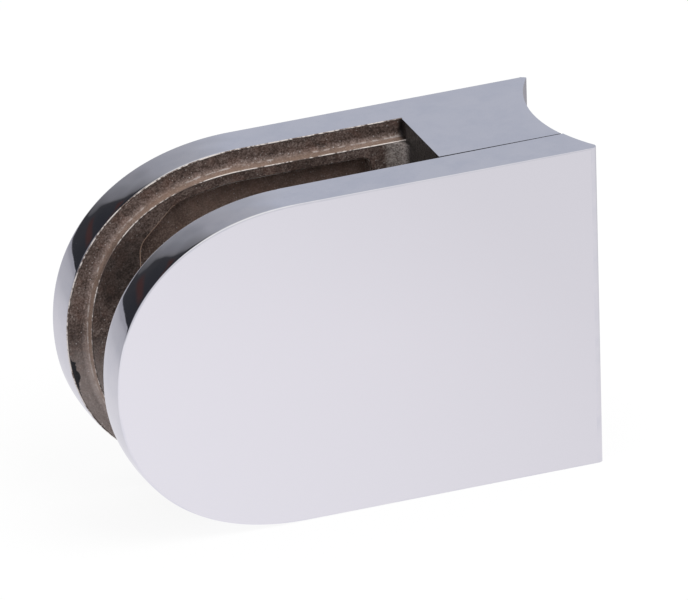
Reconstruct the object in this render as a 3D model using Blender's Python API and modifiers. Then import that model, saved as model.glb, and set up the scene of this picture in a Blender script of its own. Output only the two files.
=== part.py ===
"""Two-piece clamp that holds the edge of a glass railing panel on a round post.

The clamp is D-shaped seen from the side. The base jaw is one casting: the far wall of the glass slot,
the block behind the slot and the hollow saddle that fits the post. The cover jaw is the near wall of
the slot. Two countersunk screws enter at the back, pass through the block and pull the cover jaw in.

Frame, in metres: X runs along the clamp from the nose (-X) to the post (+X), Y from the cover jaw (-Y)
to the base jaw (+Y), and Z is up, along the post. The origin is the middle of the underside.
"""

from math import copysign
from math import cos
from math import hypot
from math import pi
from math import radians
from math import sin
from math import sqrt
from math import tan

import bmesh
import bpy
from mathutils import Vector

MM = 0.001

# Outside form
CLAMP_HEIGHT = 45.0 * MM
CLAMP_THICKNESS = 24.8 * MM
NOSE_TO_SADDLE = 63.0 * MM
NOSE_LENGTH = 25.2 * MM
NOSE_POWER = 2.16
TUBE_DIAMETER = 42.4 * MM
HORN_FLAT = 0.6 * MM
POLISHED_EDGE = 0.35 * MM

# Walls and glass slot
COVER_WALL = 5.7 * MM
FAR_WALL = 5.6 * MM
SLOT_DEPTH = 47.1 * MM
SEAM = 0.3 * MM

# Relief cast inside both jaws: a border below the rim, then a raised land round a gasket pocket
BORDER_WIDTH = 2.5 * MM
LAND_HEIGHT = 1.6 * MM
LAND_FOOT_ROUND = 0.9 * MM
LAND_WIDTH = 1.5 * MM
POCKET_DEPTH = 1.8 * MM
POCKET_NOSE_MARGIN = 10.1 * MM
POCKET_POST_MARGIN = 5.1 * MM
POCKET_CORNER = 1.8 * MM
SLOT_ROOT_ROUND = 2.6 * MM
COVER_LAND_GAP = 0.5 * MM

# Clamp screws: countersunk, hexagon socket, one above the other
SCREW_DIAMETER = 6.0 * MM
SCREW_HEAD_DIAMETER = 12.0 * MM
SCREW_HEAD_RIM = 0.3 * MM
SCREW_SPREAD = 26.0 * MM
SCREW_FROM_SLOT = 8.2 * MM
SCREW_HEAD_RECESS = 2.2 * MM
SCREW_GRIP = 3.1 * MM
SCREW_TIP_CHAMFER = 0.6 * MM
SCREW_FIT = 0.3 * MM
SCREW_TIP_ROOM = 0.5 * MM
HEX_SOCKET = 4.0 * MM
HEX_DEPTH = 2.3 * MM
HEX_SIDES = 6

# Way for the bolt that holds the base jaw to the post, and room for its head in the slot
POST_BOLT_HOLE = 9.0 * MM
POST_BOLT_HEAD_ROOM = 12.6 * MM
POST_BOLT_HEAD_LENGTH = 8.0 * MM

# Facets, and how far a cutter runs past what it cuts
NOSE_STEPS = 56
SADDLE_STEPS = 160
HOLE_STEPS = 40
CORNER_STEPS = 5
ROUND_STEPS = 2
FOOT_STEPS = 3
OVERRUN = 2.0 * MM
SAME_PLACE = 0.01 * MM
MERGE_DISTANCE = 0.001 * MM
FLAT_ANGLE = radians(0.2)
SHARP_ANGLE = radians(28)

# Places that follow from the sizes
TUBE_RADIUS = TUBE_DIAMETER / 2
FRONT_Y = -CLAMP_THICKNESS / 2
BACK_Y = CLAMP_THICKNESS / 2
HORN_RISE = TUBE_RADIUS - sqrt(TUBE_RADIUS**2 - (BACK_Y - HORN_FLAT) ** 2)
CLAMP_LENGTH = NOSE_TO_SADDLE + HORN_RISE
NOSE_X = -CLAMP_LENGTH / 2
HORN_X = CLAMP_LENGTH / 2
MIDDLE_Z = CLAMP_HEIGHT / 2
SLOT_END_X = NOSE_X + SLOT_DEPTH
TUBE_AXIS_X = NOSE_X + NOSE_TO_SADDLE + TUBE_RADIUS
COVER_INNER_Y = FRONT_Y + COVER_WALL
COVER_LAND_Y = COVER_INNER_Y + LAND_HEIGHT
BLOCK_Y = COVER_INNER_Y + SEAM
BORDER_Y = BACK_Y - FAR_WALL
LAND_Y = BORDER_Y - LAND_HEIGHT
LAND_TOP_Z = MIDDLE_Z - BORDER_WIDTH
SCREW_X = SLOT_END_X + SCREW_FROM_SLOT
SCREW_HEAD_Y = BACK_Y - SCREW_HEAD_RECESS
SCREW_TIP_Y = COVER_INNER_Y - SCREW_GRIP
SCREW_ROWS = {"upper": MIDDLE_Z + SCREW_SPREAD / 2, "lower": MIDDLE_Z - SCREW_SPREAD / 2}


def clear_scene():
    """Remove every object of the opened scene."""
    for item in list(bpy.data.objects):
        bpy.data.objects.remove(item, do_unlink=True)


def new_collection(name):
    """Add a collection to the scene and return it."""
    collection = bpy.data.collections.new(name)
    bpy.context.scene.collection.children.link(collection)
    return collection


def new_material(name, colour, roughness):
    """Return a metal with the given linear colour and roughness."""
    material = bpy.data.materials.new(name)
    material.use_nodes = True
    shader = material.node_tree.nodes["Principled BSDF"]
    shader.inputs["Base Color"].default_value = (*colour, 1.0)
    shader.inputs["Metallic"].default_value = 1.0
    shader.inputs["Roughness"].default_value = roughness
    return material


def keep_in(item, collection):
    """Move an object out of all collections into the given one."""
    for other in list(item.users_collection):
        other.objects.unlink(item)
    collection.objects.link(item)


def as_cutter(item):
    """Put an object among the cutters, hidden from renders."""
    keep_in(item, CUTTERS)
    item.hide_render = True
    item.display_type = "WIRE"
    return item


def d_outline(inset, end_x):
    """Return the clamp's outline in X and Z, drawn in by inset and ending square at end_x.

    The nose is half of a superellipse, a little fuller than a half circle, and its flats run level
    to end_x.
    """
    points = [(end_x, MIDDLE_Z - inset)]
    for step in range(NOSE_STEPS + 1):
        turn = pi / 2 * (1 - 2 * step / NOSE_STEPS)
        depth = (NOSE_LENGTH - inset) * cos(turn) ** (2 / NOSE_POWER)
        height = (MIDDLE_Z - inset) * abs(sin(turn)) ** (2 / NOSE_POWER)
        points.append((NOSE_X + NOSE_LENGTH - depth, copysign(height, sin(turn))))
    points.append((end_x, inset - MIDDLE_Z))
    return points


def outline_height(inset, x):
    """Return half the height of the drawn-in outline at a place along the clamp."""
    share = (NOSE_X + NOSE_LENGTH - x) / (NOSE_LENGTH - inset)
    share = min(max(share, 0.0), 1.0)
    return (MIDDLE_Z - inset) * (1 - share**NOSE_POWER) ** (1 / NOSE_POWER)


def rounded(points, corners, radius):
    """Return the outline with an arc of the given radius at each numbered corner."""
    result = []
    for index, point in enumerate(points):
        if index not in corners:
            result.append(point)
            continue
        here = Vector(point)
        before = Vector(points[index - 1]) - here
        after = Vector(points[(index + 1) % len(points)]) - here
        reach = radius / tan(before.angle(after) / 2)
        start = here + before.normalized() * reach
        end = here + after.normalized() * reach
        for step in range(CORNER_STEPS + 1):
            part = step / CORNER_STEPS
            low = start.lerp(here, part)
            high = here.lerp(end, part)
            result.append(tuple(low.lerp(high, part)))
    return result


def pocket_outline():
    """Return the gasket pocket's outline: the land's inner line, cut off square towards the nose."""
    inset = BORDER_WIDTH + LAND_WIDTH
    nose_end = NOSE_X + POCKET_NOSE_MARGIN
    post_end = SLOT_END_X - POCKET_POST_MARGIN
    side = [point for point in d_outline(inset, post_end) if point[0] > nose_end + POCKET_CORNER]
    top = [point for point in side if point[1] > 0]
    bottom = [point for point in side if point[1] < 0]
    nose_z = outline_height(inset, nose_end)
    outline = [*top, (nose_end, nose_z), (nose_end, -nose_z), *bottom]
    return rounded(outline, (0, len(top), len(top) + 1, len(outline) - 1), POCKET_CORNER)


def extruded(name, outline, near_y, far_y):
    """Return a closed mesh: an X-Z outline about mid height, extruded from near_y to far_y."""
    curve = bpy.data.curves.new(name, "CURVE")
    curve.dimensions = "2D"
    curve.fill_mode = "BOTH"
    curve.extrude = (far_y - near_y) / 2
    spline = curve.splines.new("POLY")
    spline.points.add(len(outline) - 1)
    for point, (x, z) in zip(spline.points, outline):
        point.co = (x, z, 0.0, 1.0)
    spline.use_cyclic_u = True
    drawing = bpy.data.objects.new(name, curve)
    drawing.rotation_euler = (pi / 2, 0.0, 0.0)
    drawing.location = (0.0, (near_y + far_y) / 2, MIDDLE_Z)
    PARTS.objects.link(drawing)
    bpy.context.view_layer.update()
    shape = bpy.data.meshes.new_from_object(drawing.evaluated_get(bpy.context.evaluated_depsgraph_get()))
    shape.transform(drawing.matrix_world)
    bpy.data.objects.remove(drawing, do_unlink=True)
    solid = bmesh.new()
    solid.from_mesh(shape)
    bmesh.ops.remove_doubles(solid, verts=solid.verts, dist=MERGE_DISTANCE)
    bmesh.ops.dissolve_limit(solid, angle_limit=FLAT_ANGLE, verts=solid.verts, edges=solid.edges)
    bmesh.ops.recalc_face_normals(solid, faces=solid.faces)
    solid.to_mesh(shape)
    solid.free()
    item = bpy.data.objects.new(name, shape)
    PARTS.objects.link(item)
    return item


def box(name, low, high):
    """Return a box between two corners."""
    low = Vector(low)
    high = Vector(high)
    bpy.ops.mesh.primitive_cube_add(size=1.0, location=(low + high) / 2)
    item = bpy.context.object
    item.name = name
    item.scale = high - low
    bpy.ops.object.transform_apply(location=True, rotation=False, scale=True)
    keep_in(item, PARTS)
    return item


def cylinder(name, radius, start, end, steps):
    """Return a cylinder of the given radius between two points."""
    start = Vector(start)
    end = Vector(end)
    axis = end - start
    bpy.ops.mesh.primitive_cylinder_add(
        vertices=steps,
        radius=radius,
        depth=axis.length,
        location=(start + end) / 2,
        rotation=axis.to_track_quat("Z", "Y").to_euler(),
    )
    item = bpy.context.object
    item.name = name
    bpy.ops.object.transform_apply(location=True, rotation=True, scale=True)
    keep_in(item, PARTS)
    return item


def turned_along_y(name, profile, centre_x, centre_z):
    """Return a turned solid on a line along Y, from a profile of (radius, y) points.

    The profile runs from the axis at +Y, down the outside, to the axis at -Y.
    """
    shape = bpy.data.meshes.new(name)
    points = [(radius, 0.0, y) for radius, y in profile]
    shape.from_pydata(points, [(step, step + 1) for step in range(len(points) - 1)], [])
    item = bpy.data.objects.new(name, shape)
    # The turning axis is the object's own Z, laid along the world's +Y
    item.rotation_euler = (-pi / 2, 0.0, 0.0)
    item.location = (centre_x, 0.0, centre_z)
    PARTS.objects.link(item)
    turn = item.modifiers.new("turn", "SCREW")
    turn.axis = "Z"
    turn.steps = HOLE_STEPS
    turn.render_steps = HOLE_STEPS
    turn.use_merge_vertices = True
    turn.merge_threshold = SAME_PLACE
    turn.use_normal_calculate = True
    return item


def boolean(item, other, operation):
    """Join another solid to the item or cut it away, as a modifier."""
    step = item.modifiers.new(other.name, "BOOLEAN")
    step.operation = operation
    step.solver = "EXACT"
    step.object = as_cutter(other)


def bake(item):
    """Turn the item's modifiers into its own mesh, with stray slivers merged away."""
    bpy.context.view_layer.update()
    graph = bpy.context.evaluated_depsgraph_get()
    shape = bpy.data.meshes.new_from_object(item.evaluated_get(graph))
    item.modifiers.clear()
    item.data = shape
    solid = bmesh.new()
    solid.from_mesh(shape)
    bmesh.ops.remove_doubles(solid, verts=solid.verts, dist=MERGE_DISTANCE)
    bmesh.ops.dissolve_degenerate(solid, edges=solid.edges, dist=MERGE_DISTANCE)
    solid.to_mesh(shape)
    solid.free()


def round_edges(item, chosen, width, steps):
    """Round the sharp edges whose two ends both pass the chosen test."""
    solid = bmesh.new()
    solid.from_mesh(item.data)
    edges = [
        edge
        for edge in solid.edges
        if len(edge.link_faces) == 2
        and edge.calc_face_angle() > SHARP_ANGLE
        and all(chosen(vertex.co) for vertex in edge.verts)
    ]
    bmesh.ops.bevel(
        solid,
        geom=edges,
        offset=width,
        offset_type="OFFSET",
        segments=steps,
        profile=0.5,
        affect="EDGES",
        clamp_overlap=False,
    )
    solid.to_mesh(item.data)
    solid.free()


def finish(item, material):
    """Give the item its material and smooth shading between sharp edges."""
    item.data.materials.clear()
    item.data.materials.append(material)
    item.data.shade_smooth()
    item.data.set_sharp_from_angle(angle=SHARP_ANGLE)


def near(value, target):
    """Tell whether two lengths are the same to a hundredth of a millimetre."""
    return abs(value - target) < SAME_PLACE


def at_screw(point):
    """Tell whether a point lies on a screw's hole or countersink."""
    reach = min(hypot(point.x - SCREW_X, point.z - row) for row in SCREW_ROWS.values())
    return reach < SCREW_HEAD_DIAMETER / 2 + 2 * SCREW_FIT


def saddle_cutter():
    """Return the post's own cylinder, which hollows both jaws."""
    return cylinder(
        "saddle_cutter",
        TUBE_RADIUS,
        (TUBE_AXIS_X, 0.0, -OVERRUN),
        (TUBE_AXIS_X, 0.0, CLAMP_HEIGHT + OVERRUN),
        SADDLE_STEPS,
    )


def bolt_head_cutter():
    """Return the room that the post bolt's head takes between the lands, at the slot's end."""
    return cylinder(
        "bolt_head_room",
        POST_BOLT_HEAD_ROOM / 2,
        (SLOT_END_X - POST_BOLT_HEAD_LENGTH, 0.0, MIDDLE_Z),
        (SLOT_END_X, 0.0, MIDDLE_Z),
        HOLE_STEPS,
    )


def slot_root_cove():
    """Return the cast round between the far land and the slot's end wall."""
    corner_x = SLOT_END_X - SLOT_ROOT_ROUND
    corner_y = LAND_Y - SLOT_ROOT_ROUND
    low_z = MIDDLE_Z - LAND_TOP_Z
    high_z = MIDDLE_Z + LAND_TOP_Z
    cove = box(
        "slot_root_cove",
        (corner_x, corner_y, low_z),
        (SLOT_END_X + OVERRUN, LAND_Y + LAND_HEIGHT / 2, high_z),
    )
    hollow = cylinder(
        "slot_root_hollow",
        SLOT_ROOT_ROUND,
        (corner_x, corner_y, low_z - OVERRUN),
        (corner_x, corner_y, high_z + OVERRUN),
        HOLE_STEPS,
    )
    boolean(cove, hollow, "DIFFERENCE")
    bake(cove)
    return cove


def screw_profile(grow):
    """Return a clamp screw's (radius, y) profile, grown by a clearance all round for its seat."""
    head = SCREW_HEAD_DIAMETER / 2 + grow
    shank = SCREW_DIAMETER / 2 + grow
    cone_y = SCREW_HEAD_Y - SCREW_HEAD_RIM
    return head, shank, cone_y, cone_y - (head - shank)


def screw_seat_cutter(row, height):
    """Return the stepped hole for one screw: room above the head, its cone and its shank."""
    head, shank, cone_y, shank_y = screw_profile(SCREW_FIT)
    profile = [
        (0.0, BACK_Y + OVERRUN),
        (head, BACK_Y + OVERRUN),
        (head, cone_y),
        (shank, shank_y),
        (shank, SCREW_TIP_Y - SCREW_TIP_ROOM),
        (0.0, SCREW_TIP_Y - SCREW_TIP_ROOM),
    ]
    return turned_along_y(f"screw_seat_{row}", profile, SCREW_X, height)


def clamp_screw(row, height, material):
    """Model one countersunk clamp screw with its hexagon socket."""
    head, shank, cone_y, shank_y = screw_profile(0.0)
    profile = [
        (0.0, SCREW_HEAD_Y),
        (head, SCREW_HEAD_Y),
        (head, cone_y),
        (shank, shank_y),
        (shank, SCREW_TIP_Y + SCREW_TIP_CHAMFER),
        (shank - SCREW_TIP_CHAMFER, SCREW_TIP_Y),
        (0.0, SCREW_TIP_Y),
    ]
    screw = turned_along_y(f"clamp_screw_{row}", profile, SCREW_X, height)
    socket = cylinder(
        f"hex_socket_{row}",
        HEX_SOCKET / 2 / cos(pi / HEX_SIDES),
        (SCREW_X, SCREW_HEAD_Y - HEX_DEPTH, height),
        (SCREW_X, SCREW_HEAD_Y + OVERRUN, height),
        HEX_SIDES,
    )
    boolean(screw, socket, "DIFFERENCE")
    bake(screw)
    finish(screw, material)
    return screw


def base_jaw(material):
    """Model the casting that holds the far wall, the block and most of the saddle."""
    jaw = extruded("base_jaw", d_outline(0.0, HORN_X), BORDER_Y, BACK_Y)
    land = extruded("base_land", d_outline(BORDER_WIDTH, SLOT_END_X + OVERRUN), LAND_Y, BORDER_Y + OVERRUN)
    block = box("base_block", (SLOT_END_X, BLOCK_Y, 0.0), (HORN_X, BORDER_Y + OVERRUN, CLAMP_HEIGHT))
    boolean(jaw, land, "UNION")
    boolean(jaw, block, "UNION")
    bake(jaw)
    round_edges(jaw, at_base_foot, LAND_FOOT_ROUND, FOOT_STEPS)
    boolean(jaw, slot_root_cove(), "UNION")
    boolean(jaw, SADDLE, "DIFFERENCE")
    pocket = extruded("base_pocket", pocket_outline(), LAND_Y - OVERRUN, LAND_Y + POCKET_DEPTH)
    boolean(jaw, pocket, "DIFFERENCE")
    boolean(jaw, BOLT_HEAD, "DIFFERENCE")
    bolt_hole = cylinder(
        "post_bolt_hole",
        POST_BOLT_HOLE / 2,
        (SLOT_END_X - OVERRUN, 0.0, MIDDLE_Z),
        (HORN_X, 0.0, MIDDLE_Z),
        HOLE_STEPS,
    )
    boolean(jaw, bolt_hole, "DIFFERENCE")
    for seat in SCREW_SEATS:
        boolean(jaw, seat, "DIFFERENCE")
    bake(jaw)
    round_edges(jaw, on_back_rim, POLISHED_EDGE, ROUND_STEPS)
    finish(jaw, material)
    return jaw


def at_land_foot(point, border_y):
    """Tell whether a point lies on the line where a land rises from its border."""
    height = outline_height(BORDER_WIDTH, point.x)
    inside = abs(point.z - MIDDLE_Z) < height + LAND_FOOT_ROUND / 2
    return near(point.y, border_y) and inside and point.x < SLOT_END_X + SAME_PLACE


def at_base_foot(point):
    """Tell whether a point lies at the foot of the base jaw's land."""
    return at_land_foot(point, BORDER_Y)


def at_cover_foot(point):
    """Tell whether a point lies at the foot of the cover jaw's land."""
    return at_land_foot(point, COVER_INNER_Y)


def on_back_rim(point):
    """Tell whether a point lies on the polished edge round the base jaw's back face."""
    return near(point.y, BACK_Y) and not at_screw(point)


def on_front_rim(point):
    """Tell whether a point lies on the polished edge round the cover jaw's front face."""
    return near(point.y, FRONT_Y)


def cover_jaw(material):
    """Model the plate that closes the near side of the slot."""
    jaw = extruded("cover_jaw", d_outline(0.0, HORN_X), FRONT_Y, COVER_INNER_Y)
    land_end = SLOT_END_X - COVER_LAND_GAP
    land = extruded("cover_land", d_outline(BORDER_WIDTH, land_end), COVER_INNER_Y - OVERRUN, COVER_LAND_Y)
    boolean(jaw, land, "UNION")
    bake(jaw)
    round_edges(jaw, at_cover_foot, min(LAND_FOOT_ROUND, COVER_LAND_GAP), FOOT_STEPS)
    boolean(jaw, SADDLE, "DIFFERENCE")
    pocket = extruded("cover_pocket", pocket_outline(), COVER_LAND_Y - POCKET_DEPTH, COVER_LAND_Y + OVERRUN)
    boolean(jaw, pocket, "DIFFERENCE")
    boolean(jaw, BOLT_HEAD, "DIFFERENCE")
    for seat in SCREW_SEATS:
        boolean(jaw, seat, "DIFFERENCE")
    bake(jaw)
    round_edges(jaw, on_front_rim, POLISHED_EDGE, ROUND_STEPS)
    finish(jaw, material)
    return jaw


clear_scene()
PARTS = new_collection("glass_railing_tube_clamp")
CUTTERS = new_collection("cutters")
CUTTERS.hide_render = True
CAST_STEEL = new_material("cast_stainless", (0.62, 0.62, 0.65), 0.12)
SCREW_STEEL = new_material("screw_stainless", (0.55, 0.55, 0.56), 0.25)
SADDLE = saddle_cutter()
BOLT_HEAD = bolt_head_cutter()
SCREW_SEATS = [screw_seat_cutter(row, height) for row, height in SCREW_ROWS.items()]
base_jaw(CAST_STEEL)
cover_jaw(CAST_STEEL)
for screw_row, screw_height in SCREW_ROWS.items():
    clamp_screw(screw_row, screw_height, SCREW_STEEL)
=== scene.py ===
"""Looks of a glass railing tube clamp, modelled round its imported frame.

Two stainless castings close on the edge of a pane of glass. Outside they are mirror polished; inside the
slot they stay as they came from the mould. Two countersunk screws at the back pull the jaws together.

Frame, in metres: +X runs from the round nose to the post, +Y from the cover jaw to the base jaw, +Z is up.
"""

import logging
from collections.abc import Callable
from dataclasses import dataclass
from dataclasses import field
from enum import Enum
from math import copysign
from math import cos
from math import hypot
from math import pi
from math import radians
from math import sin

import bmesh
import bpy
from mathutils import Matrix
from mathutils import Vector


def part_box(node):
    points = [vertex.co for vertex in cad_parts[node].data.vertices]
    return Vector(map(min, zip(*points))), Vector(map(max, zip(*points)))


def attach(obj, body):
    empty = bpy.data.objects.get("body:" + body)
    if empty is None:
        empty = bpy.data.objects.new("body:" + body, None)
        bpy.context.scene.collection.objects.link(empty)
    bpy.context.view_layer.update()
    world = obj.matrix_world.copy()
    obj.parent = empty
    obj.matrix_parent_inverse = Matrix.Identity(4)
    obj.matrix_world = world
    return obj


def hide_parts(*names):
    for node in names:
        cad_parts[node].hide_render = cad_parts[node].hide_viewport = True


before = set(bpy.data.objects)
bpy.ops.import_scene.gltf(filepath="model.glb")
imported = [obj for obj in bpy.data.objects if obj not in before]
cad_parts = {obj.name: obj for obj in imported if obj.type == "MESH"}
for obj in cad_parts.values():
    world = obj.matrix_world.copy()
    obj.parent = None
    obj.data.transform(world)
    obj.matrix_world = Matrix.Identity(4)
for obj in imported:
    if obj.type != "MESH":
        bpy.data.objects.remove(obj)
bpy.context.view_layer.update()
LOG = logging.getLogger("clamp")

MM = 0.001
SAME_PLACE = 0.01 * MM
OVERRUN = 2.0 * MM
SMOOTH_ANGLE = radians(30)
FLAT = 0.99999
LARGE_FACE = 8 * MM * MM
WHITE = "#FFFFFF"
BLACK = "#000000"

Span = tuple[float, float]
Triple = tuple[float, float, float]
Stops = list[tuple[float, str]] | tuple[tuple[float, str], ...]
Source = bpy.types.Node | bpy.types.NodeSocket | float | tuple[float, ...]


class Element(Enum):
    """What a selection in edit mode is made of."""

    POINT = "VERT"
    EDGE = "EDGE"
    FACE = "FACE"


class Fit(Enum):
    """How a second solid changes the first."""

    CUT = "DIFFERENCE"
    JOIN = "UNION"


class Zone(Enum):
    """The finishes of a jaw, in the order of its material slots."""

    WHEEL_POLISHED = 0
    HAND_BUFFED = 1
    AS_CAST = 2
    CAST_ROUND = 3
    RUBBED_EDGE = 4
    FETTLED = 5


@dataclass(frozen=True)
class Sizes:
    """The clamp's driving sizes, as in its construction, and the places that follow from the frame."""

    nose_length: float = 25.2 * MM
    nose_power: float = 2.16
    land_nose_power: float = 2.3
    tube_radius: float = 21.2 * MM
    border_width: float = 2.45 * MM
    border_nose_width: float = 2.95 * MM
    land_height: float = 1.6 * MM
    land_width: float = 1.5 * MM
    land_foot_round: float = 0.9 * MM
    pocket_depth: float = 1.8 * MM
    pocket_nose_margin: float = 10.1 * MM
    pocket_post_margin: float = 5.1 * MM
    pocket_corner_cut: float = 3.6 * MM
    slot_depth: float = 47.1 * MM
    slot_root_round: float = 2.6 * MM
    cover_land_gap: float = 0.5 * MM
    far_wall: float = 5.6 * MM
    nose_to_saddle: float = 63.0 * MM
    bolt_hole: float = 9.0 * MM
    bolt_head_room: float = 12.6 * MM
    bolt_head_length: float = 8.0 * MM
    screw_fit: float = 0.3 * MM
    nose_x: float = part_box("base_jaw")[0].x
    horn_x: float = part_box("base_jaw")[1].x
    block_y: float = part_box("base_jaw")[0].y
    back_y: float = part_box("base_jaw")[1].y
    height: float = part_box("base_jaw")[1].z
    front_y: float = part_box("cover_jaw")[0].y
    cover_land_y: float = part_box("cover_jaw")[1].y

    @property
    def middle_z(self) -> float:
        """Mid height."""
        return self.height / 2

    @property
    def pocket_nose_x(self) -> float:
        """Where the gasket pocket begins."""
        return self.nose_x + self.pocket_nose_margin

    @property
    def slot_end_x(self) -> float:
        """Where the glass slot ends."""
        return self.nose_x + self.slot_depth

    @property
    def tube_axis_x(self) -> float:
        """The post's axis."""
        return self.nose_x + self.nose_to_saddle + self.tube_radius

    @property
    def border_y(self) -> float:
        """The base jaw's cast border, below its rim."""
        return self.back_y - self.far_wall

    @property
    def land_y(self) -> float:
        """The base jaw's raised land."""
        return self.border_y - self.land_height

    @property
    def cover_inner_y(self) -> float:
        """The cover jaw's cast border."""
        return self.cover_land_y - self.land_height


SIZES = Sizes()


@dataclass(frozen=True)
class DLine:
    """One of the clamp's nested D-shaped lines, by how far it is drawn in from the outer one."""

    inset: float = 0.0
    nose_inset: float = 0.0
    power: float = SIZES.nose_power

    @property
    def nose_length(self) -> float:
        """The length of the curved nose."""
        return SIZES.nose_length - self.nose_inset

    @property
    def rise(self) -> float:
        """Half the line's height."""
        return SIZES.middle_z - self.inset

    def half_height(self, x: float) -> float:
        """Work out half the line's height at a place along the clamp.

        Args:
            x: The place.

        Returns:
            Half the height, or 0 before the line's nose.
        """
        share = (SIZES.nose_x + SIZES.nose_length - x) / self.nose_length
        share = min(max(share, 0.0), 1.0)
        return self.rise * (1 - share**self.power) ** (1 / self.power)

    def holds(self, point: Vector, margin: float = 0.0) -> bool:
        """Tell whether a place lies inside the line.

        Args:
            point: The place.
            margin: How far outside the line still counts.

        Returns:
            True for a place inside.
        """
        inner_x = SIZES.nose_x + self.nose_inset
        reach = self.half_height(max(point.x, inner_x)) + margin
        return point.x > inner_x - margin and abs(point.z - SIZES.middle_z) < reach


OUTER = DLine()
LAND = DLine(SIZES.border_width, SIZES.border_nose_width, SIZES.land_nose_power)
LIP = DLine(LAND.inset + SIZES.land_width, LAND.nose_inset + SIZES.land_width, LAND.power)


def linear(colour: str) -> tuple[float, float, float, float]:
    """Turn an sRGB hex colour to linear light.

    Args:
        colour: The colour, such as "#8A7B72".

    Returns:
        Linear red, green, blue and an alpha of 1.
    """
    shares = [int(colour[place : place + 2], 16) / 255 for place in (1, 3, 5)]
    light = [share / 12.92 if share <= 0.04045 else ((share + 0.055) / 1.055) ** 2.4 for share in shares]
    return (*light, 1.0)


def feed(node: bpy.types.Node, inputs: dict[str | int, object] | tuple) -> None:
    """Give a node's inputs their values and links.

    Args:
        node: The node.
        inputs: Named or numbered inputs, or the first few in their order. Each gets a value, the first output
            in use of another node, or one certain output.
    """
    for name, value in inputs.items() if isinstance(inputs, dict) else enumerate(inputs):
        if isinstance(value, bpy.types.Node):
            value = next(output for output in value.outputs if output.enabled)
        if isinstance(value, bpy.types.NodeSocket):
            node.id_data.links.new(value, node.inputs[name])
        else:
            node.inputs[name].default_value = value


def add_node(
    tree: bpy.types.NodeTree,
    kind: str,
    inputs: dict[str | int, object] | tuple = (),
    **settings: object,
) -> bpy.types.Node:
    """Add a node with its settings and links.

    Args:
        tree: The node tree it goes in.
        kind: The node's type, without the words ShaderNode.
        inputs: Its inputs, as for feed.
        settings: The node's own settings.

    Returns:
        The new node.
    """
    node = tree.nodes.new("ShaderNode" + kind)
    for name, value in settings.items():
        setattr(node, name, value)
    feed(node, inputs)
    return node


def set_stops(ramp: bpy.types.Node, stops: Stops) -> None:
    """Give a colour ramp its stops.

    Args:
        ramp: The ramp's node.
        stops: The place of each stop, from 0 to 1, and its sRGB hex colour.
    """
    elements = ramp.color_ramp.elements
    while len(elements) < len(stops):
        elements.new(1.0)
    for element, (place, colour) in zip(elements, stops):
        element.position = place
        element.color = linear(colour)


def lay(
    tree: bpy.types.NodeTree,
    base: Source,
    colour: str,
    value: Source,
    span: Span,
    shares: tuple[Source, Source] = (0.0, 1.0),
) -> bpy.types.Node:
    """Lay a colour over another, by how far a value has come along a span.

    Args:
        tree: The node tree it goes in.
        base: The colour below.
        colour: The sRGB hex colour laid on.
        value: What decides, such as a noise or a coordinate.
        span: The two values between which the share changes.
        shares: How much of the colour is laid on at the two ends of the span.

    Returns:
        The mixed colour.
    """
    share = add_node(tree, "MapRange", (value, *span, *shares))
    return add_node(tree, "Mix", {0: share, 6: base, 7: linear(colour)}, data_type="RGBA")


def new_material(name: str) -> tuple[bpy.types.Material, bpy.types.NodeTree, bpy.types.NodeSocket]:
    """Start a material.

    Args:
        name: The material's name.

    Returns:
        The material, its node tree and the Object coordinates in that tree.
    """
    material = bpy.data.materials.new(name)
    material.use_nodes = True
    tree = material.node_tree
    return material, tree, add_node(tree, "TexCoord").outputs["Object"]


def sized(place: Source, size: float, detail: float, roughness: float = 0.5) -> dict[str, object]:
    """Work out the inputs of a pattern whose features have a real size.

    Args:
        place: The Object coordinates.
        size: The size of the features in metres.
        detail: How many finer layers the pattern has.
        roughness: How strong the finer layers are.

    Returns:
        The inputs by name.
    """
    return {"Vector": place, "Scale": 1 / size, "Detail": detail, "Roughness": roughness}


def pick(item: bpy.types.Object) -> None:
    """Make one object the only one selected, and the active one.

    Args:
        item: The object.
    """
    bpy.ops.object.select_all(action="DESELECT")
    item.select_set(True)
    bpy.context.view_layer.objects.active = item


def edit(item: bpy.types.Object) -> None:
    """Open one object in edit mode with all of it selected.

    Args:
        item: The object.
    """
    pick(item)
    bpy.ops.object.mode_set(mode="EDIT")
    bpy.ops.mesh.select_mode(type=Element.POINT.value)
    bpy.ops.mesh.select_all(action="SELECT")


def leave_edit() -> None:
    """Go back to object mode."""
    bpy.ops.object.mode_set(mode="OBJECT")


def select(item: bpy.types.Object, element: Element, test: Callable[..., bool]) -> None:
    """Select in edit mode what passes a test.

    Args:
        item: The object that is being edited.
        element: Whether points, edges or faces are tested.
        test: Tells of one point, edge or face whether it is chosen.
    """
    bpy.ops.mesh.select_mode(type=element.value)
    bpy.ops.mesh.select_all(action="DESELECT")
    mesh = bmesh.from_edit_mesh(item.data)
    mesh.normal_update()
    group = {Element.POINT: mesh.verts, Element.EDGE: mesh.edges, Element.FACE: mesh.faces}[element]
    for part in group:
        part.select_set(test(part))
    bmesh.update_edit_mesh(item.data)


def extrude(move: tuple[float, float, float]) -> None:
    """Extrude what is selected along a vector."""
    bpy.ops.mesh.extrude_region_move(TRANSFORM_OT_translate={"value": move})


def apply_modifier(item: bpy.types.Object, kind: str, **settings: object) -> None:
    """Add a modifier and apply it.

    Args:
        item: The object it changes.
        kind: The modifier's type.
        settings: The modifier's own settings.
    """
    pick(item)
    bpy.ops.object.modifier_add(type=kind)
    modifier = item.modifiers[-1]
    for name, value in settings.items():
        setattr(modifier, name, value)
    bpy.ops.object.modifier_apply(modifier=modifier.name)


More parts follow.
